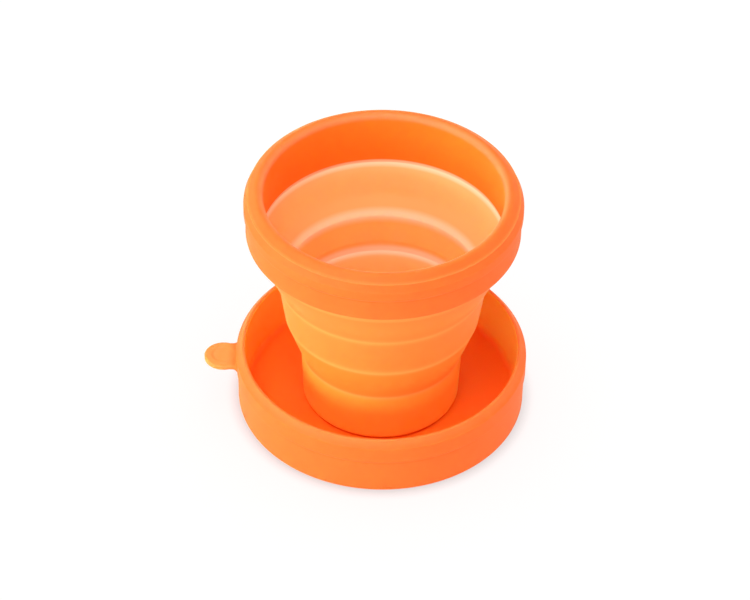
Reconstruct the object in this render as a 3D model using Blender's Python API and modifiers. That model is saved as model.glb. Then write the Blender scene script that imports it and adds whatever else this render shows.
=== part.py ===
"""Collapsible travel cup, standing in its upturned lid.

The cup is one silicone moulding: three stiff rings joined by two thin webs.
Pressed down, each web turns inside out and the rings sink into each other.
The lid is a second moulding, a shallow dish with a pull tab.

Metres, +Z up. The origin is the centre of the lid's underside.
"""

import math

import bmesh
import bpy

MM = 0.001

# Fineness of the turned pieces, and the most that one step of a rounded corner turns.
TURN_STEPS = 56
CORNER_STEP = math.radians(46)
MERGE = 0.01 * MM

# Clearance between neighbours that touch.
GAP = 0.3 * MM

# Lid: a dish with a thicker bead round its mouth.
LID_HEIGHT = 19.2 * MM
LID_FLOOR = 2.0 * MM
LID_INNER = 40.2 * MM
LID_CREST = 41.0 * MM
LID_OUTER = 42.3 * MM
LID_BEAD_OUTER = 42.8 * MM
LID_BEAD_BOTTOM = 11.4 * MM
LID_SHOULDER = 16.9 * MM

# Pull tab: a round tongue, cut straight where it bends at the bead.
TAB_RADIUS = 5.6 * MM
TAB_CENTRE = 46.7 * MM
TAB_HEIGHT = 13.2 * MM
TAB_THICKNESS = 1.8 * MM
TAB_EDGE = 0.7 * MM
TAB_SEGMENTS = 40
TAB_ROOT = LID_BEAD_OUTER + GAP
TAB_HINGE = TAB_ROOT + TAB_THICKNESS / 2

# Base: the lowest stiff ring, with the floor of the cup.
BASE_BOTTOM = LID_FLOOR + GAP
BASE_FLOOR = 1.8 * MM
BASE_WALL = 1.6 * MM
BASE_FOOT_OUTER = 23.0 * MM
BASE_TOP_OUTER = 23.7 * MM
BASE_TOP = 19.4 * MM
BASE_INNER_TOP = 17.3 * MM

# Middle ring.
MIDDLE_WALL = 1.7 * MM
MIDDLE_BOTTOM_OUTER = 28.5 * MM
MIDDLE_BOTTOM = 33.0 * MM
MIDDLE_TOP_OUTER = 30.5 * MM
MIDDLE_TOP = 46.8 * MM
MIDDLE_INNER_TOP = 44.6 * MM

# Rim: a thick band with a lip that slopes outwards, and below it the wall that carries the upper web.
RIM_WALL = 1.7 * MM
RIM_FOLD_OUTER = 36.8 * MM
RIM_FOLD = 60.4 * MM
RIM_BAND_OUTER = 39.5 * MM
RIM_BAND_BOTTOM = 63.6 * MM
RIM_NOTCH = 70.5 * MM
LIP_OUTER = 40.0 * MM
LIP_SHOULDER = 73.9 * MM
LIP_EDGE_R = 38.9 * MM
LIP_EDGE = 76.1 * MM
LIP_INNER = 34.2 * MM
LIP_PEAK = 79.9 * MM

# Webs, and the thinner strips that they bend on where they meet the rings.
WEB_WALL = 0.9 * MM
STRIP_WALL = 0.7 * MM
STRIP_HEIGHT = 1.2 * MM

# Each fold is the slope of its web's outer side, as (upper radius, upper height, lower radius, lower height).
UPPER_FOLD = (RIM_FOLD_OUTER, RIM_FOLD, MIDDLE_TOP_OUTER, MIDDLE_TOP)
LOWER_FOLD = (MIDDLE_BOTTOM_OUTER, MIDDLE_BOTTOM, BASE_TOP_OUTER, BASE_TOP)

ORANGE = (0.95, 0.19, 0.03, 1.0)
PALE_ORANGE = (0.98, 0.33, 0.09, 1.0)
SATIN = 0.45


def clear_scene():
    for obj in list(bpy.data.objects):
        bpy.data.objects.remove(obj, do_unlink=True)


def new_collection(name):
    collection = bpy.data.collections.new(name)
    bpy.context.scene.collection.children.link(collection)
    return collection


def silicone(name, colour):
    material = bpy.data.materials.new(name)
    material.use_nodes = True
    shader = material.node_tree.nodes["Principled BSDF"]
    shader.inputs["Base Color"].default_value = colour
    shader.inputs["Roughness"].default_value = SATIN
    shader.inputs["Metallic"].default_value = 0.0
    return material


def rounded(corners, closed):
    """Points (r, z) of an outline in which each corner (r, z, radius) is turned into an arc."""
    points = []
    for i, (r, z, radius) in enumerate(corners):
        at_end = not closed and i in (0, len(corners) - 1)
        if radius == 0 or at_end:
            points.append((r, z))
            continue
        before = corners[i - 1]
        after = corners[(i + 1) % len(corners)]
        to_before = math.atan2(before[1] - z, before[0] - r)
        to_after = math.atan2(after[1] - z, after[0] - r)
        opening = (to_after - to_before + math.pi) % (2 * math.pi) - math.pi
        bisector = to_before + opening / 2
        reach = radius / math.sin(abs(opening) / 2)
        centre_r = r + reach * math.cos(bisector)
        centre_z = z + reach * math.sin(bisector)
        sweep = math.copysign(math.pi - abs(opening), -opening)
        first = bisector + math.pi - sweep / 2
        steps = math.ceil(abs(sweep) / CORNER_STEP)
        for step in range(steps + 1):
            angle = first + sweep * step / steps
            points.append((centre_r + radius * math.cos(angle), centre_z + radius * math.sin(angle)))
    return points


def turned(name, corners, material, collection, closed=True, parent=None):
    """A piece turned about the vertical axis. Its outline runs down its outer side."""
    points = rounded(corners, closed)
    edges = [(i, i + 1) for i in range(len(points) - 1)]
    if closed:
        edges.append((len(points) - 1, 0))
    mesh = bpy.data.meshes.new(name)
    mesh.from_pydata([(r, 0.0, z) for r, z in points], edges, [])
    mesh.materials.append(material)
    obj = bpy.data.objects.new(name, mesh)
    obj.parent = parent
    collection.objects.link(obj)
    turn = obj.modifiers.new("Turn", "SCREW")
    turn.axis = "Z"
    turn.angle = 2 * math.pi
    turn.steps = TURN_STEPS
    turn.render_steps = TURN_STEPS
    turn.use_merge_vertices = True
    turn.merge_threshold = MERGE
    turn.use_smooth_shade = True
    return obj


def lid_dish(material, collection):
    corners = [
        (0.0, LID_FLOOR, 0),
        (LID_INNER - 0.3 * MM, LID_FLOOR, 1.2 * MM),
        (LID_INNER, LID_HEIGHT - 0.2 * MM, 0.3 * MM),
        (LID_CREST, LID_HEIGHT, 0.6 * MM),
        (LID_BEAD_OUTER, LID_SHOULDER, 0.8 * MM),
        (LID_BEAD_OUTER, LID_BEAD_BOTTOM + 0.5 * MM, 0.3 * MM),
        (LID_OUTER + 0.1 * MM, LID_BEAD_BOTTOM, 0.3 * MM),
        (LID_OUTER, 0.0, 1.0 * MM),
        (0.0, 0.0, 0),
    ]
    return turned("lid_dish", corners, material, collection, closed=False)


def pull_tab(material, collection, parent):
    """A disc with its root cut straight. Its origin is on the line that it bends about."""
    cage = bmesh.new()
    bmesh.ops.create_cone(
        cage,
        cap_ends=True,
        segments=TAB_SEGMENTS,
        radius1=TAB_RADIUS,
        radius2=TAB_RADIUS,
        depth=TAB_THICKNESS,
    )
    bmesh.ops.translate(cage, verts=cage.verts, vec=(TAB_HINGE - TAB_CENTRE, 0.0, 0.0))
    cut = bmesh.ops.bisect_plane(
        cage,
        geom=cage.verts[:] + cage.edges[:] + cage.faces[:],
        plane_co=(TAB_HINGE - TAB_ROOT, 0.0, 0.0),
        plane_no=(1.0, 0.0, 0.0),
        clear_outer=True,
    )
    bmesh.ops.contextual_create(cage, geom=[e for e in cut["geom_cut"] if isinstance(e, bmesh.types.BMEdge)])
    bmesh.ops.recalc_face_normals(cage, faces=cage.faces)
    mesh = bpy.data.meshes.new("pull_tab")
    cage.to_mesh(mesh)
    cage.free()
    mesh.materials.append(material)
    mesh.shade_smooth()
    obj = bpy.data.objects.new("pull_tab", mesh)
    obj.parent = parent
    obj.location = (-TAB_HINGE, 0.0, TAB_HEIGHT)
    collection.objects.link(obj)
    edge = obj.modifiers.new("Edge", "BEVEL")
    edge.width = TAB_EDGE
    edge.segments = 3
    edge.limit_method = "ANGLE"
    edge.angle_limit = math.radians(40)
    return obj


def fold_radius(fold, height, wall=0.0):
    """Radius of a fold's outer side at a height, or of its inner side when its wall is given."""
    upper_r, upper_z, lower_r, lower_z = fold
    slope = (upper_r - lower_r) / (upper_z - lower_z)
    return lower_r + slope * (height - lower_z) - wall * math.hypot(1.0, slope)


def base_cup(material, collection, parent):
    inside_floor = BASE_BOTTOM + BASE_FLOOR
    corners = [
        (0.0, inside_floor, 0),
        (BASE_FOOT_OUTER - BASE_WALL, inside_floor, 1.5 * MM),
        (fold_radius(LOWER_FOLD, BASE_INNER_TOP, WEB_WALL), BASE_INNER_TOP, 0),
        (fold_radius(LOWER_FOLD, BASE_TOP, WEB_WALL), BASE_TOP, 0),
        (BASE_TOP_OUTER, BASE_TOP, 0.3 * MM),
        (BASE_FOOT_OUTER, BASE_BOTTOM, 1.5 * MM),
        (0.0, BASE_BOTTOM, 0),
    ]
    return turned("base_cup", corners, material, collection, closed=False, parent=parent)


def middle_ring(material, collection, parent):
    corners = [
        (MIDDLE_TOP_OUTER, MIDDLE_TOP, 0.3 * MM),
        (MIDDLE_BOTTOM_OUTER, MIDDLE_BOTTOM, 0.5 * MM),
        (MIDDLE_BOTTOM_OUTER - MIDDLE_WALL, MIDDLE_BOTTOM, 0.2 * MM),
        (fold_radius(UPPER_FOLD, MIDDLE_INNER_TOP, WEB_WALL), MIDDLE_INNER_TOP, 0),
        (fold_radius(UPPER_FOLD, MIDDLE_TOP, WEB_WALL), MIDDLE_TOP, 0),
    ]
    return turned("middle_ring", corners, material, collection, parent=parent)


def rim_ring(material, collection, parent):
    corners = [
        (LIP_EDGE_R, LIP_EDGE, 0.5 * MM),
        (LIP_OUTER, LIP_SHOULDER, 1.2 * MM),
        (LIP_OUTER, RIM_NOTCH + 0.6 * MM, 0.5 * MM),
        (RIM_BAND_OUTER, RIM_NOTCH, 0.4 * MM),
        (RIM_BAND_OUTER, RIM_BAND_BOTTOM, 0.5 * MM),
        (RIM_FOLD_OUTER + 0.1 * MM, RIM_BAND_BOTTOM, 0.4 * MM),
        (RIM_FOLD_OUTER, RIM_FOLD, 0.4 * MM),
        (RIM_FOLD_OUTER - RIM_WALL, RIM_FOLD, 0.2 * MM),
        (LIP_INNER, LIP_PEAK, 1.7 * MM),
    ]
    return turned("rim_ring", corners, material, collection, parent=parent)


def fold_piece(name, fold, top, bottom, wall, material, collection, parent):
    """A thin piece of a fold, between two heights."""
    corners = [
        (fold_radius(fold, top), top, 0),
        (fold_radius(fold, bottom), bottom, 0),
        (fold_radius(fold, bottom, wall), bottom, 0),
        (fold_radius(fold, top, wall), top, 0),
    ]
    return turned(name, corners, material, collection, parent=parent)


def fold_between(names, fold, rings, material, collection):
    """The strip, web and strip of one fold, from its upper ring down to its lower ring."""
    upper_strip, web, lower_strip = names
    upper_ring, lower_ring = rings
    _, fold_top, _, fold_bottom = fold
    top = fold_top - GAP
    bottom = fold_bottom + GAP
    web_top = top - STRIP_HEIGHT - GAP
    web_bottom = bottom + STRIP_HEIGHT + GAP
    fold_piece(upper_strip, fold, top, top - STRIP_HEIGHT, STRIP_WALL, material, collection, upper_ring)
    fold_piece(web, fold, web_top, web_bottom, WEB_WALL, material, collection, lower_ring)
    fold_piece(lower_strip, fold, bottom + STRIP_HEIGHT, bottom, STRIP_WALL, material, collection, lower_ring)


def build():
    clear_scene()
    cup = new_collection("collapsible_travel_cup")
    thick = silicone("silicone", ORANGE)
    thin = silicone("thin_silicone", PALE_ORANGE)
    lid = lid_dish(thick, cup)
    pull_tab(thick, cup, lid)
    base = base_cup(thick, cup, lid)
    middle = middle_ring(thick, cup, base)
    rim = rim_ring(thick, cup, middle)
    lower_names = ("middle_lower_strip", "lower_web", "base_strip")
    upper_names = ("rim_strip", "upper_web", "middle_upper_strip")
    fold_between(lower_names, LOWER_FOLD, (middle, base), thin, cup)
    fold_between(upper_names, UPPER_FOLD, (rim, middle), thin, cup)


build()
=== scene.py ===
"""Looks of the collapsible travel cup, standing in its upturned lid.

The cup and the lid are two silicone mouldings. Each zone that moves is one smooth piece here,
which takes the place of the plain CAD nodes of that zone. Metres, +Z up, in the CAD's frame.
"""

from collections import namedtuple
import math

import bpy
import numpy as np
from mathutils import Matrix, Vector


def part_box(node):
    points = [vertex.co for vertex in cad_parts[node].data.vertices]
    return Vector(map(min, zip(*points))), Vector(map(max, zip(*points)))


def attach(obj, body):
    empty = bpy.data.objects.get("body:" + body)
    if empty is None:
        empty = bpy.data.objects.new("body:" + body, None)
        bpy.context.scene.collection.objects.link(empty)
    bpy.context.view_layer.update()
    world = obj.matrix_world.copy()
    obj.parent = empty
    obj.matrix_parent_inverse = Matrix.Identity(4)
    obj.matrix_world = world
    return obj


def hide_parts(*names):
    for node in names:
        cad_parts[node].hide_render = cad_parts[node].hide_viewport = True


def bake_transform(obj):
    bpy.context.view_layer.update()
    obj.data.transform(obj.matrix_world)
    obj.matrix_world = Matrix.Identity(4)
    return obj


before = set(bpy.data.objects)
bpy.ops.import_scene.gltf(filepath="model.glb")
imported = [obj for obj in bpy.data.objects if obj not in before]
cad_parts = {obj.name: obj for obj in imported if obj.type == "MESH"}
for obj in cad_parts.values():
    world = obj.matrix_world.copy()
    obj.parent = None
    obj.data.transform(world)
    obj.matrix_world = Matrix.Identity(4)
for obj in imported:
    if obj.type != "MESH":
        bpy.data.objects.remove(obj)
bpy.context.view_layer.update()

MM = 0.001


# ---------------------------------------------------------------- sizes

_, lid_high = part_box("lid_dish")
tab_low, tab_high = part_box("pull_tab")
base_low, base_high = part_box("base_cup")
middle_low, middle_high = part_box("middle_ring")
rim_low, rim_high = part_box("rim_ring")

# Under the lid and under the cup is a shallow recess with a sloping edge.
RECESS_DEPTH = 0.4 * MM
RECESS_SLOPE = 0.5 * MM

# Lid.
LID_HEIGHT = lid_high.z
LID_BEAD_OUTER = lid_high.x
LID_FLOOR = base_low.z - 0.3 * MM
LID_OUTER = LID_BEAD_OUTER - 0.5 * MM
LID_INNER = LID_BEAD_OUTER - 2.6 * MM
LID_INNER_FOOT = LID_INNER - 0.3 * MM
LID_INNER_TOP = LID_HEIGHT - 0.2 * MM
LID_CREST = LID_INNER + 0.8 * MM
LID_SHOULDER = LID_HEIGHT - 2.3 * MM
LID_BEAD_BOTTOM = LID_HEIGHT - 7.8 * MM
LID_BEAD_EDGE = LID_BEAD_BOTTOM + 0.5 * MM
LID_OUTER_TOP = LID_OUTER + 0.1 * MM
LID_RECESS_R = 35.0 * MM

# Pull tab: a disc with a slight neck, which opens in fillets where it meets the lid.
TAB_RADIUS = (tab_high.y - tab_low.y) / 2
TAB_CENTRE = tab_low.x + TAB_RADIUS
TAB_HEIGHT = (tab_low.z + tab_high.z) / 2
TAB_THICKNESS = tab_high.z - tab_low.z
TAB_NECK = 0.95 * TAB_RADIUS
TAB_FILLET = 1.9 * MM
TAB_FLARE = 0.6 * MM
TAB_FLARE_END = -LID_BEAD_OUTER + 0.1 * MM
TAB_ROOT_EMBED = 0.9 * MM
TAB_DISH_DEPTH = 0.16 * MM
TAB_DISH_FLOOR = 0.5 * TAB_RADIUS
TAB_DISH_EDGE = 0.66 * TAB_RADIUS

# Base of the cup.
BASE_BOTTOM = base_low.z
BASE_TOP = base_high.z
BASE_TOP_OUTER = base_high.x
BASE_FOOT_OUTER = BASE_TOP_OUTER - 0.7 * MM
BASE_WALL = 1.6 * MM
BASE_FLOOR = 1.8 * MM
BASE_INNER_TOP = BASE_TOP - 2.1 * MM
BASE_RECESS_R = 19.0 * MM

# Middle ring.
MIDDLE_BOTTOM = middle_low.z
MIDDLE_TOP = middle_high.z
MIDDLE_TOP_OUTER = middle_high.x
MIDDLE_BOTTOM_OUTER = MIDDLE_TOP_OUTER - 2.0 * MM
MIDDLE_INNER_TOP = MIDDLE_TOP - 2.2 * MM
MIDDLE_INNER_BOTTOM = MIDDLE_BOTTOM_OUTER - 1.25 * MM
MIDDLE_LEDGE = MIDDLE_BOTTOM + 3.0 * MM

# Rim. Its line is the narrow ridge round the lip.
RIM_FOLD = rim_low.z
RIM_FOLD_OUTER = 36.8 * MM
RIM_WALL = 1.7 * MM
RIM_TOP = rim_high.z
LIP_OUTER = rim_high.x
RIM_BAND_OUTER = LIP_OUTER - 0.5 * MM
RIM_BAND_BOTTOM = RIM_FOLD + 3.2 * MM
RIM_NOTCH = RIM_FOLD + 10.1 * MM
RIM_NOTCH_TOP = RIM_NOTCH + 0.6 * MM
RIM_UNDER_BAND = RIM_FOLD_OUTER + 0.1 * MM
RIM_INNER_BOTTOM = RIM_FOLD_OUTER - RIM_WALL
RIM_LEDGE = RIM_FOLD + 0.6 * MM
LIP_INNER = LIP_OUTER - 5.8 * MM
LIP_EDGE_R = LIP_OUTER - 1.1 * MM
LIP_EDGE = RIM_FOLD + 15.7 * MM
LIP_LINE_HALF = 0.16 * MM
LIP_LINE_R = LIP_EDGE_R + 0.6 * LIP_LINE_HALF
LIP_SHOULDER = RIM_FOLD + 13.5 * MM
LIP_PEAK = RIM_FOLD + 19.5 * MM

# Webs. A fold is the slope of its web's outer side.
Fold = namedtuple("Fold", "upper_r upper_z lower_r lower_z")
WEB_WALL = 0.9 * MM
UPPER_FOLD = Fold(RIM_FOLD_OUTER, RIM_FOLD, MIDDLE_TOP_OUTER, MIDDLE_TOP)
LOWER_FOLD = Fold(MIDDLE_BOTTOM_OUTER, MIDDLE_BOTTOM, BASE_TOP_OUTER, BASE_TOP)

# Each ring carries a stub of its webs, so that the fold lines are smooth. A web is a little
# thinner than its stubs. Its lower end runs through the stub into the ring. Its upper end stops
# short of the fold, where the outer side turns up, so that it doesn't show there.
STUB = 1.2 * MM
STUB_CORNER = 0.8 * MM
WEB_LOWER_TUCK = 0.6 * MM
WEB_UPPER_GAP = 0.5 * MM
WEB_INSET = 0.02 * MM
STUB_EDGE_INSET = 0.019 * MM

# Fineness of the pieces.
TURN_STEPS = 256
CORNER_STEPS = 8
LONGEST_RUN = 0.7 * MM
SHARP_ANGLE = math.radians(35)
TAB_SECTIONS = 64
TAB_SIDE_STEPS = 28
TAB_EDGE_STEPS = 6


# ---------------------------------------------------------------- colours

# Linear colours of the silicone. OUTER and LIP are its own colour; the others are painted light and
# shade. Where the wall is thin, or light comes through it, or shade falls under the band, on the
# base and deep in the cup, it is painted paler. There are painted highlights along the lip and the
# folds, and painted shade on the lid's floor.
OUTER = (0.97, 0.145, 0.021)
LIP = (0.97, 0.143, 0.022)
# Painted shade on the lid's floor, which is painted deeper; painted light on its inner wall and its
# mouth, which are painted paler.
LID_FLOOR_SHADE = (0.97, 0.126, 0.006)
LID_WALL_LIGHT = (0.97, 0.420, 0.050)
LID_MOUTH_LIGHT = (0.97, 0.165, 0.034)
# Painted light: the tab is painted paler away from the lid.
TAB_COLOUR = (0.97, 0.245, 0.060)
# Painted light inside the cup: its inner walls are painted paler than the outside, and its deep
# parts no darker than its top, in place of light coming through the walls.
RIM_INSIDE = (0.97, 0.192, 0.014)
# Painted highlights: a pale line along the lip's inner edge, and one on the narrow ridge round the
# lip.
LIP_INSIDE = (0.97, 0.205, 0.065)
LIP_LINE = (0.97, 0.185, 0.038)
# Painted light: the thinner walls outside are painted paler, for light coming through them.
WEB_OUTSIDE = (0.97, 0.228, 0.040)
MIDDLE_OUTSIDE = (0.97, 0.212, 0.034)
LOW_OUTSIDE = (0.97, 0.225, 0.028)
# Painted light on the base and its foot, which are painted paler to fill the shade that the lid's
# wall casts on them.
BASE_OUTSIDE = (0.97, 0.265, 0.030)
FOOT = (0.97, 0.350, 0.044)
# Painted highlight along the outer side of each fold.
FOLD_OUTSIDE_HIGHLIGHT = (0.97, 0.300, 0.062)
# Painted light under the band, which is painted paler to take out the shade there.
UNDER_BAND = (0.97, 0.340, 0.080)
# Painted light on the inside of the thin webs and of the rings below the rim.
WEB_INSIDE = (0.97, 0.425, 0.145)
MIDDLE_INSIDE = (0.97, 0.470, 0.130)
LOW_INSIDE = (0.97, 0.425, 0.145)
# Painted light along the fold lines inside: pale lines for light coming through the thin folds.
FOLD_INSIDE = (0.95, 0.640, 0.400)
DEEP_FOLD_INSIDE = (0.95, 0.700, 0.480)

# Colours up the cup, as (height, colour), inside and outside. Below the first and above the last,
# the colour stays the same. Apart from OUTER and LIP, these are painted light and painted
# highlights.
INSIDE_COLOURS = (
    # Inside: painted light throughout, palest at the fold lines, and a painted highlight along the
    # lip's inner edge.
    (BASE_TOP - 2.4 * MM, LOW_INSIDE),
    (BASE_TOP - 0.8 * MM, FOLD_INSIDE),
    (BASE_TOP + 1.1 * MM, LOW_INSIDE),
    (MIDDLE_BOTTOM - 2.6 * MM, LOW_INSIDE),
    (MIDDLE_BOTTOM - 1.2 * MM, DEEP_FOLD_INSIDE),
    (MIDDLE_BOTTOM + 0.4 * MM, DEEP_FOLD_INSIDE),
    (MIDDLE_BOTTOM + 2.0 * MM, MIDDLE_INSIDE),
    (MIDDLE_TOP - 4.3 * MM, MIDDLE_INSIDE),
    (MIDDLE_TOP - 2.2 * MM, FOLD_INSIDE),
    (MIDDLE_TOP - 1.2 * MM, FOLD_INSIDE),
    (MIDDLE_TOP + 0.6 * MM, WEB_INSIDE),
    (RIM_FOLD - 2.4 * MM, WEB_INSIDE),
    (RIM_FOLD - 1.3 * MM, FOLD_INSIDE),
    (RIM_FOLD, FOLD_INSIDE),
    (RIM_FOLD + 0.4 * MM, RIM_INSIDE),
    (LIP_EDGE - 0.5 * MM, RIM_INSIDE),
    (LIP_EDGE + 0.7 * MM, LIP_INSIDE),
    (LIP_EDGE + 1.5 * MM, LIP_INSIDE),
    (LIP_EDGE + 1.9 * MM, LIP),
)
OUTSIDE_COLOURS = (
    # Outside: painted light on the foot, the base, the thin walls and under the band, and painted
    # highlights along the folds and on the lip's ridge.
    (BASE_BOTTOM + 3.7 * MM, FOOT),
    (BASE_BOTTOM + 9.7 * MM, BASE_OUTSIDE),
    (BASE_TOP - 1.4 * MM, BASE_OUTSIDE),
    (BASE_TOP, FOLD_OUTSIDE_HIGHLIGHT),
    (BASE_TOP + 1.2 * MM, LOW_OUTSIDE),
    (MIDDLE_BOTTOM - 1.4 * MM, LOW_OUTSIDE),
    (MIDDLE_BOTTOM, FOLD_OUTSIDE_HIGHLIGHT),
    (MIDDLE_BOTTOM + 1.6 * MM, MIDDLE_OUTSIDE),
    (MIDDLE_TOP - 1.4 * MM, MIDDLE_OUTSIDE),
    (MIDDLE_TOP, FOLD_OUTSIDE_HIGHLIGHT),
    (MIDDLE_TOP + 1.6 * MM, WEB_OUTSIDE),
    (RIM_FOLD - 0.4 * MM, WEB_OUTSIDE),
    (RIM_BAND_BOTTOM - 0.4 * MM, UNDER_BAND),
    (RIM_BAND_BOTTOM + 0.3 * MM, OUTER),
    (LIP_SHOULDER - 0.9 * MM, OUTER),
    (LIP_EDGE - 0.9 * MM, LIP),
    (LIP_EDGE - 0.1 * MM, LIP),
    (LIP_EDGE, LIP_LINE),
    (LIP_EDGE + 0.2 * MM, LIP_LINE),
    (LIP_EDGE + 0.3 * MM, LIP),
)

# The middle of the cup's wall, as (height, radius). Points nearer the axis are inside.
WALL_MIDDLE = (
    (BASE_BOTTOM, BASE_FOOT_OUTER - BASE_WALL / 2),
    (BASE_TOP, BASE_TOP_OUTER - WEB_WALL / 2),
    (MIDDLE_BOTTOM, MIDDLE_BOTTOM_OUTER - WEB_WALL / 2),
    (MIDDLE_TOP, MIDDLE_TOP_OUTER - WEB_WALL / 2),
    (RIM_FOLD, RIM_FOLD_OUTER - WEB_WALL),
    (RIM_TOP, RIM_FOLD_OUTER - WEB_WALL),
)

# Where the paint changes: at the lid's inside, up its inner wall from the colour of its floor, up
# the outside of its mouth, and along the tab by the distance from the lid.
LID_INSIDE_R = LID_INNER + 0.1 * MM
LID_WALL_START = LID_FLOOR - 0.5 * MM
LID_WALL_END = LID_FLOOR + 2.5 * MM
LID_MOUTH_END = LID_HEIGHT - 0.5 * MM
TAB_COLOUR_END = 3.0 * MM

# Two pieces meet at a seam, and one covers a strip of the other. Scattered light would be lost in
# that strip and leave a dark line, so it starts at one distance from a seam and is full at another.
SEAMS = (BASE_TOP + STUB, MIDDLE_BOTTOM - STUB, MIDDLE_TOP + STUB, RIM_FOLD - STUB)
SEAM_GLOW_START = 1.2 * MM
SEAM_GLOW_FULL = 4.0 * MM
TAB_GLOW_START = 1.0 * MM
TAB_GLOW_FULL = 3.5 * MM

# The silicone: soft clouds of shade and roughness, a fine grain, and light scattering in the wall.
CLOUD_SCALE = 60.0
CLOUD_DETAIL = 3.0
CLOUD_SHADES = (0.96, 1.04)
CLOUD_ROUGHNESS = (0.46, 0.58)
GRAIN_SCALE = 2600.0
GRAIN_DETAIL = 2.0
GRAIN_STRENGTH = 0.12
GRAIN_HEIGHT = 0.05 * MM
SILICONE_IOR = 1.41
SILICONE_SPECULAR = 0.12
SCATTER_REACH = (1.0, 0.5, 0.25)
SCATTER_DEPTH = 3.0 * MM

# The floor glows, so that it is nearly white, and glows less where something stands close to it: a
# painted contact shadow.
FLOOR_HALF = 3.0
FLOOR_GREY = 0.22
FLOOR_ROUGHNESS = 0.9
FLOOR_GLOW = (0.60, 0.82)
CONTACT_SHADOW_REACH = 4.0 * MM
CONTACT_SHADOW_OPENNESS = 0.5

# Soft lights, as (name, place, width and height, power in watts). All are aimed at one point.
WORLD_STRENGTH = 0.95
LIGHT_AIM = Vector((0.0, 0.0, 0.04))
LIGHTS = (
    ("key", Vector((-0.96, -0.45, 0.28)), (1.0, 0.6), 10.5),
    ("top", Vector((-0.25, -0.50, 1.35)), (0.8, 0.8), 13.0),
    ("fill", Vector((-0.35, -1.15, 0.35)), (0.8, 0.4), 3.5),
)

# Camera. It looks from the front, and is turned a little off its aim to frame the object.
CAMERA_ELEVATION = math.radians(41.7)
CAMERA_DISTANCE = 1.0206
CAMERA_AIM = Vector((0.0, 0.0, 0.030))
CAMERA_YAW = math.radians(0.117)
CAMERA_PITCH = math.radians(0.268)
CAMERA_ROLL = math.radians(-0.99)
CAMERA_LENS = 167.26
SENSOR_WIDTH = 36.0


# ---------------------------------------------------------------- mesh work


def corner_arc(before, corner, after, radius):
    """The arc that rounds a corner between two straight runs, from the first run to the second."""
    r, z = corner
    to_before = math.atan2(before[1] - z, before[0] - r)
    to_after = math.atan2(after[1] - z, after[0] - r)
    opening = (to_after - to_before + math.pi) % (2 * math.pi) - math.pi
    bisector = to_before + opening / 2
    reach = radius / math.sin(abs(opening) / 2)
    centre_r = r + reach * math.cos(bisector)
    centre_z = z + reach * math.sin(bisector)
    sweep = math.copysign(math.pi - abs(opening), -opening)
    angles = bisector + math.pi - sweep / 2 + sweep * np.linspace(0, 1, CORNER_STEPS + 1)
    return [(centre_r + radius * math.cos(a), centre_z + radius * math.sin(a)) for a in angles]


def in_short_runs(points):
    """The same outline, with points added so that no run is long."""
    fine = []
    for (r0, z0), (r1, z1) in zip(points, points[1:]):
        runs = max(1, math.ceil(math.hypot(r1 - r0, z1 - z0) / LONGEST_RUN))
        for k in range(runs):
            fine.append((r0 + (r1 - r0) * k / runs, z0 + (z1 - z0) * k / runs))
    return fine


def outline(corners, closed):
    """Points (r, z) of an outline given as corners (r, z, radius of the rounding)."""
    points = []
    for i, (r, z, radius) in enumerate(corners):
        at_end = not closed and i in (0, len(corners) - 1)
        if radius == 0 or at_end:
            points.append((r, z))
            continue
        before = corners[i - 1][:2]
        after = corners[(i + 1) % len(corners)][:2]
        points.extend(corner_arc(before, (r, z), after, radius))
    if closed:
        return in_short_runs(points + points[:1])
    return in_short_runs(points) + points[-1:]


def new_object(name, vertices, faces, material):
    mesh = bpy.data.meshes.new(name)
    mesh.from_pydata([tuple(v) for v in vertices], [], faces)
    mesh.materials.append(material)
    mesh.shade_smooth()
    mesh.set_sharp_from_angle(angle=SHARP_ANGLE)
    obj = bpy.data.objects.new(name, mesh)
    bpy.context.scene.collection.objects.link(obj)
    return obj


def turned(name, corners, material, closed=True):
    """A piece turned about the vertical axis. An open outline starts and ends on the axis."""
    points = outline(corners, closed)
    rings = points if closed else points[1:-1]
    count = len(rings)
    angles = 2 * math.pi * np.arange(TURN_STEPS) / TURN_STEPS
    vertices = [(r * math.cos(a), r * math.sin(a), z) for r, z in rings for a in angles]
    faces = []
    for i in range(count if closed else count - 1):
        here = i * TURN_STEPS
        below = (i + 1) % count * TURN_STEPS
        for k in range(TURN_STEPS):
            after = (k + 1) % TURN_STEPS
            faces.append((here + k, below + k, below + after, here + after))
    if not closed:
        pole = count * TURN_STEPS
        last = pole - TURN_STEPS
        vertices += [(0.0, 0.0, points[0][1]), (0.0, 0.0, points[-1][1])]
        spokes = [(k, (k + 1) % TURN_STEPS) for k in range(TURN_STEPS)]
        faces += [(pole, k, after) for k, after in spokes]
        faces += [(last + after, last + k, pole + 1) for k, after in spokes]
    return new_object(name, vertices, faces, material)


def points_of(obj):
    flat = np.empty(len(obj.data.vertices) * 3)
    obj.data.vertices.foreach_get("co", flat)
    return flat.reshape(-1, 3)


def set_points(obj, points):
    obj.data.vertices.foreach_set("co", np.asarray(points, float).ravel())
    obj.data.update()


def from_axis(points):
    return np.hypot(points[:, 0], points[:, 1])


# ---------------------------------------------------------------- paint


def smoothstep(low, high, value):
    share = np.clip((value - low) / (high - low), 0.0, 1.0)
    return share * share * (3 - 2 * share)


def mixed(first, second, share):
    """One colour for each share, from the first colour to the second."""
    share = np.asarray(share)[:, None]
    return np.array(first) * (1 - share) + np.array(second) * share


def colours_at(height, table):
    levels, colours = zip(*table)
    channels = np.transpose(colours)
    return np.column_stack([np.interp(height, levels, channel) for channel in channels])


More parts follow.
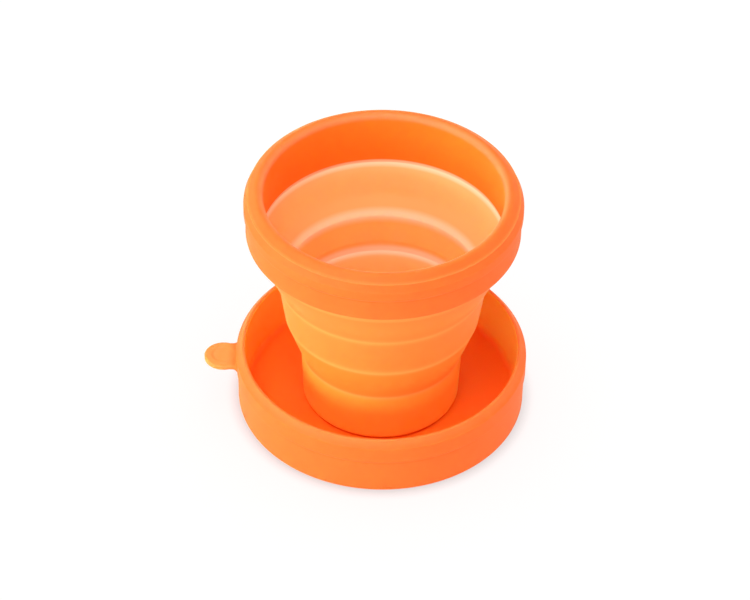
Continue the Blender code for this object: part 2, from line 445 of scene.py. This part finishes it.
def paint(obj, colours, glow):
    """Stores a colour for each point of a mesh, and how much light scatters in the wall there."""
    tint = obj.data.attributes.new("tint", "FLOAT_COLOR", "POINT")
    opaque = np.column_stack([colours, np.ones(len(colours))])
    tint.data.foreach_set("color", opaque.astype(np.float32).ravel())
    scatter = obj.data.attributes.new("glow", "FLOAT", "POINT")
    scatter.data.foreach_set("value", np.asarray(glow, np.float32))


def paint_lid(obj):
    """Paints the lid: its floor is painted shade, the most saturated, and its inner wall and mouth
    are painted light, paler.
    """
    points = points_of(obj)
    height = points[:, 2]
    inside = from_axis(points) < LID_INSIDE_R
    wall = smoothstep(LID_WALL_START, LID_WALL_END, height)
    mouth = smoothstep(LID_SHOULDER, LID_MOUTH_END, height)
    inner = mixed(LID_FLOOR_SHADE, LID_WALL_LIGHT, wall)
    outer = mixed(OUTER, LID_MOUTH_LIGHT, mouth)
    paint(obj, np.where(inside[:, None], inner, outer), np.ones(len(height)))


def paint_tab(obj):
    from_lid = -LID_BEAD_OUTER - points_of(obj)[:, 0]
    # Painted light: paler away from the lid.
    colours = mixed(OUTER, TAB_COLOUR, smoothstep(0.0, TAB_COLOUR_END, from_lid))
    paint(obj, colours, smoothstep(TAB_GLOW_START, TAB_GLOW_FULL, from_lid))


def paint_cup(obj):
    """Paints a piece of the cup: thick walls in the silicone's own colour, painted light on the
    thin webs and inside, painted highlights along the lip and the outer folds, and pale lines along
    the inner folds, which are painted light.
    """
    points = points_of(obj)
    height = points[:, 2]
    levels, middles = zip(*WALL_MIDDLE)
    inside = from_axis(points) < np.interp(height, levels, middles)
    inner = colours_at(height, INSIDE_COLOURS)
    outer = colours_at(height, OUTSIDE_COLOURS)
    from_seam = np.min([np.abs(height - seam) for seam in SEAMS], axis=0)
    glow = smoothstep(SEAM_GLOW_START, SEAM_GLOW_FULL, from_seam)
    paint(obj, np.where(inside[:, None], inner, outer), glow)


# ---------------------------------------------------------------- materials


def new_material(name):
    """A new material and its Principled shader."""
    material = bpy.data.materials.new(name)
    material.use_nodes = True
    return material, material.node_tree.nodes["Principled BSDF"]


def add_node(material, kind, inputs):
    node = material.node_tree.nodes.new(kind)
    for name, value in inputs.items():
        node.inputs[name].default_value = value
    return node


def painted_on(material, name):
    """The node that reads what is painted on the mesh under a name."""
    attribute = add_node(material, "ShaderNodeAttribute", {})
    attribute.attribute_name = name
    return attribute


def noise(material, place, scale, detail):
    """A noise from 0 to 1 over a place, as a socket."""
    texture = add_node(material, "ShaderNodeTexNoise", {"Scale": scale, "Detail": detail})
    material.node_tree.links.new(place, texture.inputs["Vector"])
    return texture.outputs["Fac"]


def in_span(material, value, span, start=0.0):
    """A value from start to 1 mapped to a span, as a socket."""
    low, high = span
    limits = {"From Min": start, "To Min": low, "To Max": high}
    scaled = add_node(material, "ShaderNodeMapRange", limits)
    material.node_tree.links.new(value, scaled.inputs["Value"])
    return scaled.outputs["Result"]


def silicone(name):
    """Matt translucent silicone. Its colour and scattering are painted on the mesh."""
    material, shader = new_material(name)
    links = material.node_tree.links
    place = add_node(material, "ShaderNodeTexCoord", {}).outputs["Object"]
    cloud = noise(material, place, CLOUD_SCALE, CLOUD_DETAIL)
    shaded = add_node(material, "ShaderNodeMix", {})
    shaded.data_type = "RGBA"
    shaded.blend_type = "MULTIPLY"
    shaded.inputs["Factor"].default_value = 1.0
    links.new(painted_on(material, "tint").outputs["Color"], shaded.inputs["A"])
    links.new(in_span(material, cloud, CLOUD_SHADES), shaded.inputs["B"])
    links.new(shaded.outputs["Result"], shader.inputs["Base Color"])
    links.new(in_span(material, cloud, CLOUD_ROUGHNESS), shader.inputs["Roughness"])
    relief = {"Strength": GRAIN_STRENGTH, "Distance": GRAIN_HEIGHT}
    bump = add_node(material, "ShaderNodeBump", relief)
    links.new(noise(material, place, GRAIN_SCALE, GRAIN_DETAIL), bump.inputs["Height"])
    links.new(bump.outputs["Normal"], shader.inputs["Normal"])
    glow = painted_on(material, "glow").outputs["Fac"]
    links.new(glow, shader.inputs["Subsurface Weight"])
    shader.inputs["Subsurface Radius"].default_value = SCATTER_REACH
    shader.inputs["Subsurface Scale"].default_value = SCATTER_DEPTH
    shader.inputs["IOR"].default_value = SILICONE_IOR
    shader.inputs["Specular IOR Level"].default_value = SILICONE_SPECULAR
    return material


def floor_material():
    """A plain pale floor with a painted contact shadow, a soft dark edge where something stands on
    it.
    """
    material, shader = new_material("floor")
    shader.inputs["Base Color"].default_value = (FLOOR_GREY, FLOOR_GREY, FLOOR_GREY, 1.0)
    shader.inputs["Roughness"].default_value = FLOOR_ROUGHNESS
    shader.inputs["Specular IOR Level"].default_value = 0.0
    shader.inputs["Emission Color"].default_value = (1.0, 1.0, 1.0, 1.0)
    # Painted contact shadow: the glow is dimmed where something close by hides the floor.
    contact = add_node(material, "ShaderNodeAmbientOcclusion", {"Distance": CONTACT_SHADOW_REACH})
    glow = in_span(material, contact.outputs["AO"], FLOOR_GLOW, CONTACT_SHADOW_OPENNESS)
    material.node_tree.links.new(glow, shader.inputs["Emission Strength"])
    return material


# ---------------------------------------------------------------- lid


def make_lid(material):
    corners = [
        (0.0, LID_FLOOR, 0),
        (LID_INNER_FOOT, LID_FLOOR, 1.8 * MM),
        (LID_INNER, LID_INNER_TOP, 0.35 * MM),
        (LID_CREST, LID_HEIGHT, 0.6 * MM),
        (LID_BEAD_OUTER, LID_SHOULDER, 0.8 * MM),
        (LID_BEAD_OUTER, LID_BEAD_EDGE, 0.3 * MM),
        (LID_OUTER_TOP, LID_BEAD_BOTTOM, 0.3 * MM),
        (LID_OUTER, 0.0, 1.0 * MM),
        (LID_RECESS_R + RECESS_SLOPE, 0.0, 0.2 * MM),
        (LID_RECESS_R, RECESS_DEPTH, 0.2 * MM),
        (0.0, RECESS_DEPTH, 0),
    ]
    lid = turned("lid_shell", corners, material, closed=False)
    paint_lid(lid)
    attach(lid, "lid")
    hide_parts("lid_dish")
    return lid


def flare(x, wall, radius):
    """How much a side of the tab opens at x, in an arc that ends square to the lid's wall."""
    along = min(1.0, max(0.0, 1.0 - (wall - x) / radius))
    return radius * (1.0 - math.sqrt(1.0 - along * along))


def tab_half_width(x):
    """Half the width of the tab at x: a disc, a slight neck, and a fillet at the lid."""
    along = min(1.0, abs(x - TAB_CENTRE) / TAB_RADIUS)
    disc = TAB_RADIUS * math.sqrt(1.0 - along * along)
    if x <= TAB_CENTRE:
        return disc
    wall = -math.sqrt(LID_BEAD_OUTER**2 - (TAB_NECK + TAB_FILLET) ** 2)
    return max(disc, TAB_NECK) + flare(x, wall, TAB_FILLET)


def tab_half_thickness(x):
    """Half the thickness of the tab at x, which flares a little where it meets the lid."""
    return TAB_THICKNESS / 2 + flare(x, TAB_FLARE_END, TAB_FLARE)


def tab_stations():
    """Places along the tab, from its tip to inside the lid's wall, closer together at the tip."""
    count = TAB_SECTIONS // 2
    turn = np.linspace(0.0, math.pi / 2, count, endpoint=False)
    round_the_tip = [TAB_CENTRE - TAB_RADIUS * math.cos(a) for a in turn[1:]]
    return round_the_tip + list(np.linspace(TAB_CENTRE, -LID_BEAD_OUTER + TAB_ROOT_EMBED, count))


def tab_section(x):
    """The outline (y, z) of the tab at x: flat above and below, with rounded edges."""
    half_thick = tab_half_thickness(x)
    half_wide = tab_half_width(x)
    soft = min(half_thick, half_wide)
    flat = half_wide - soft
    turn = np.linspace(-math.pi / 2, math.pi / 2, 2 * TAB_EDGE_STEPS + 1)
    edge = [(flat + soft * math.cos(a), half_thick * math.sin(a)) for a in turn]
    steps = range(1, TAB_SIDE_STEPS)
    top = [(flat * (1 - 2 * k / TAB_SIDE_STEPS), half_thick) for k in steps]
    half = edge + top
    return half + [(-y, -z) for y, z in half]


def press_dish(tab):
    """Presses a shallow round dish into both faces of the tab."""
    points = points_of(tab)
    from_centre = np.hypot(points[:, 0] - TAB_CENTRE, points[:, 1])
    depth = TAB_DISH_DEPTH * (1 - smoothstep(TAB_DISH_FLOOR, TAB_DISH_EDGE, from_centre))
    upper = points[:, 2] > TAB_HEIGHT
    points[:, 2] -= np.where(upper, depth, -depth)
    set_points(tab, points)


def make_tab(material):
    """A tongue made of sections, whose root meets the lid's wall."""
    sections = [[(x, y, TAB_HEIGHT + z) for y, z in tab_section(x)] for x in tab_stations()]
    vertices = [point for section in sections for point in section]
    ring = len(sections[0])
    faces = []
    for a in range(0, len(vertices) - ring, ring):
        b = a + ring
        for k in range(ring):
            after = (k + 1) % ring
            faces.append((a + k, a + after, b + after, b + k))
    faces.append(tuple(range(ring))[::-1])
    faces.append(tuple(range(len(vertices) - ring, len(vertices))))
    tab = new_object("lid_pull_tab", vertices, faces, material)
    press_dish(tab)
    paint_tab(tab)
    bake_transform(tab)
    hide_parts("pull_tab")
    return tab


# ---------------------------------------------------------------- cup


def fold_slope(fold):
    """How much the radius of a fold grows with height."""
    return (fold.upper_r - fold.lower_r) / (fold.upper_z - fold.lower_z)


def fold_radius(fold, height, wall=0.0):
    """Radius of a fold's outer side at a height, or of its inner side when its wall is given."""
    slope = fold_slope(fold)
    return fold.lower_r + slope * (height - fold.lower_z) - wall * math.hypot(1.0, slope)


def inner_corner(fold, height, radius):
    """A rounded corner on the inner side of a fold."""
    return (fold_radius(fold, height, WEB_WALL), height, radius)


def stub_edge(fold, height, wall):
    """A corner at the free edge of a stub, flush with the web that comes out of it."""
    inset = STUB_EDGE_INSET if wall == 0.0 else -STUB_EDGE_INSET
    return (fold_radius(fold, height, wall) - inset, height, 0.0)


def make_base(material):
    floor = BASE_BOTTOM + BASE_FLOOR
    recess = BASE_BOTTOM + RECESS_DEPTH
    corners = [
        (0.0, floor, 0),
        (BASE_FOOT_OUTER - BASE_WALL, floor, 3.0 * MM),
        inner_corner(LOWER_FOLD, BASE_INNER_TOP, 1.0 * MM),
        stub_edge(LOWER_FOLD, BASE_TOP + STUB, WEB_WALL),
        stub_edge(LOWER_FOLD, BASE_TOP + STUB, 0.0),
        (BASE_TOP_OUTER, BASE_TOP, 4.0 * MM),
        (BASE_FOOT_OUTER, BASE_BOTTOM, 1.5 * MM),
        (BASE_RECESS_R + RECESS_SLOPE, BASE_BOTTOM, 0.2 * MM),
        (BASE_RECESS_R, recess, 0.2 * MM),
        (0.0, recess, 0),
    ]
    base = turned("cup_base", corners, material, closed=False)
    paint_cup(base)
    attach(base, "base")
    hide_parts("base_cup")
    return base


def make_middle(material):
    corners = [
        stub_edge(UPPER_FOLD, MIDDLE_TOP + STUB, 0.0),
        (MIDDLE_TOP_OUTER, MIDDLE_TOP, 5.0 * MM),
        (MIDDLE_BOTTOM_OUTER, MIDDLE_BOTTOM, 2.5 * MM),
        stub_edge(LOWER_FOLD, MIDDLE_BOTTOM - STUB, 0.0),
        stub_edge(LOWER_FOLD, MIDDLE_BOTTOM - STUB, WEB_WALL),
        inner_corner(LOWER_FOLD, MIDDLE_BOTTOM - STUB_CORNER, 0.3 * MM),
        (MIDDLE_INNER_BOTTOM, MIDDLE_LEDGE, 1.5 * MM),
        inner_corner(UPPER_FOLD, MIDDLE_INNER_TOP, 1.5 * MM),
        stub_edge(UPPER_FOLD, MIDDLE_TOP + STUB, WEB_WALL),
    ]
    middle = turned("cup_middle_ring", corners, material)
    paint_cup(middle)
    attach(middle, "middle")
    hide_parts("middle_ring")
    return middle


def make_rim(material):
    corners = [
        (LIP_EDGE_R - LIP_LINE_HALF, LIP_EDGE + LIP_LINE_HALF, 0.1 * MM),
        (LIP_LINE_R, LIP_EDGE + LIP_LINE_HALF, 0.06 * MM),
        (LIP_LINE_R, LIP_EDGE - LIP_LINE_HALF, 0.1 * MM),
        (LIP_OUTER, LIP_SHOULDER, 1.2 * MM),
        (LIP_OUTER, RIM_NOTCH_TOP, 0.5 * MM),
        (RIM_BAND_OUTER, RIM_NOTCH, 0.4 * MM),
        (RIM_BAND_OUTER, RIM_BAND_BOTTOM, 0.5 * MM),
        (RIM_UNDER_BAND, RIM_BAND_BOTTOM, 1.5 * MM),
        (RIM_FOLD_OUTER, RIM_FOLD, 1.5 * MM),
        stub_edge(UPPER_FOLD, RIM_FOLD - STUB, 0.0),
        stub_edge(UPPER_FOLD, RIM_FOLD - STUB, WEB_WALL),
        inner_corner(UPPER_FOLD, RIM_FOLD - STUB_CORNER, 0.3 * MM),
        (RIM_INNER_BOTTOM, RIM_LEDGE, 0.5 * MM),
        (LIP_INNER, LIP_PEAK, 1.7 * MM),
    ]
    rim = turned("cup_rim", corners, material)
    paint_cup(rim)
    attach(rim, "rim")
    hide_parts("rim_ring")
    return rim


def blend_by_radius(web):
    """Lays the web's points out by their radius, applies its transform, and puts its points back.
    """
    points = points_of(web)
    laid_out = np.zeros_like(points)
    laid_out[:, 0] = from_axis(points)
    set_points(web, laid_out)
    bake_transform(web)
    set_points(web, points)


def make_web(name, fold, nodes, material):
    """A thin cone whose ends lie in the stubs of its rings."""
    top = fold.upper_z - WEB_UPPER_GAP
    bottom = fold.lower_z - WEB_LOWER_TUCK
    corners = [
        (fold_radius(fold, top) - WEB_INSET, top, 0),
        (fold_radius(fold, bottom) - WEB_INSET, bottom, 0),
        (fold_radius(fold, bottom, WEB_WALL) + WEB_INSET, bottom, 0),
        (fold_radius(fold, top, WEB_WALL) + WEB_INSET, top, 0),
    ]
    web = turned(name, corners, material)
    paint_cup(web)
    blend_by_radius(web)
    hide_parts(*nodes)
    return web


# ---------------------------------------------------------------- stage


def make_floor():
    half = FLOOR_HALF
    corners = [(-half, -half, 0.0), (half, -half, 0.0), (half, half, 0.0), (-half, half, 0.0)]
    floor = new_object("floor", corners, [(0, 1, 2, 3)], floor_material())


def make_world():
    world = bpy.data.worlds.new("studio")
    world.use_nodes = True
    background = world.node_tree.nodes["Background"]
    background.inputs["Color"].default_value = (1.0, 1.0, 1.0, 1.0)
    background.inputs["Strength"].default_value = WORLD_STRENGTH
    bpy.context.scene.world = world


def add_area_light(name, place, size, power, lit):
    """A soft light, of a width and a height, that lights only the objects given."""
    light = bpy.data.lights.new(name, "AREA")
    light.shape = "ELLIPSE"
    light.size, light.size_y = size
    light.energy = power
    obj = bpy.data.objects.new(name, light)
    obj.location = place
    obj.rotation_euler = (LIGHT_AIM - place).to_track_quat("-Z", "Y").to_euler()
    bpy.context.scene.collection.objects.link(obj)
    receivers = bpy.data.collections.new(name + "_receivers")
    for piece in lit:
        receivers.objects.link(piece)
    obj.light_linking.receiver_collection = receivers


def add_camera():
    data = bpy.data.cameras.new("camera")
    data.lens = CAMERA_LENS
    data.sensor_width = SENSOR_WIDTH
    camera = bpy.data.objects.new("camera", data)
    back = Vector((0.0, -math.cos(CAMERA_ELEVATION), math.sin(CAMERA_ELEVATION)))
    right = Vector((1.0, 0.0, 0.0))
    up = right.cross(-back)
    turn = Matrix.Rotation(CAMERA_PITCH, 3, right) @ Matrix.Rotation(CAMERA_YAW, 3, up)
    forward = turn @ -back
    turn = Matrix.Rotation(CAMERA_ROLL, 3, forward) @ turn
    axes = Matrix((turn @ right, turn @ up, -forward)).transposed()
    camera.matrix_world = Matrix.LocRotScale(CAMERA_AIM + CAMERA_DISTANCE * back, axes, None)
    bpy.context.scene.collection.objects.link(camera)
    bpy.context.scene.camera = camera


# ---------------------------------------------------------------- the scene

add_camera()
rubber = silicone("silicone_orange")
thin_rubber = silicone("silicone_thin_orange")
lower_nodes = ("lower_web", "base_strip", "middle_lower_strip")
upper_nodes = ("upper_web", "middle_upper_strip", "rim_strip")
pieces = [
    make_lid(rubber),
    make_tab(rubber),
    make_base(rubber),
    make_web("cup_lower_web", LOWER_FOLD, lower_nodes, thin_rubber),
    make_middle(rubber),
    make_web("cup_upper_web", UPPER_FOLD, upper_nodes, thin_rubber),
    make_rim(rubber),
]
make_floor()
make_world()
for name, place, size, power in LIGHTS:
    add_area_light(name, place, size, power, pieces)
bpy.context.scene.view_settings.view_transform = "Standard"
